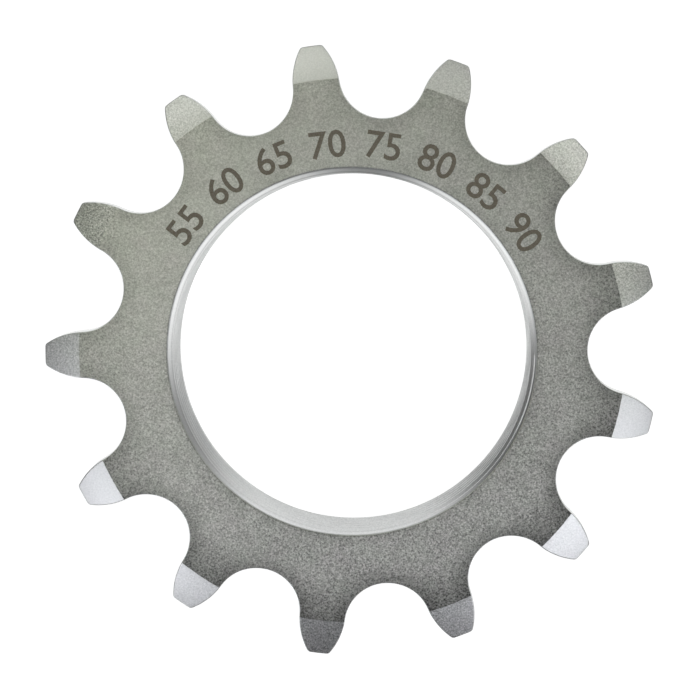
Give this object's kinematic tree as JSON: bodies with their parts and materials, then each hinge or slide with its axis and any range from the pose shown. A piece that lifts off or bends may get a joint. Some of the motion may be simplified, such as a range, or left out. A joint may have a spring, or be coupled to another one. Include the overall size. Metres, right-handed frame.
{
  "type": "single speed cog",
  "caption": "Screw-on steel sprocket for a single-speed bicycle hub: a flat toothed plate with turned tip bevels, a threaded bore and a plain boss behind it.",
  "frame": {"origin": "centre of the boss's seat face, on the axis of the bore", "axes": "+Z along the bore's axis and out of the front face; a tooth gap is centred on +Y"},
  "size_m": [0.059, 0.0586, 0.0068],
  "materials": {
    "plated_steel": "machined steel with a thin dull plating: a fine even grain on the flat faces, brighter turned bevels and bore"
  },
  "bodies": {
    "root": {"cog": "plated_steel"}
  },
  "joints": []
}
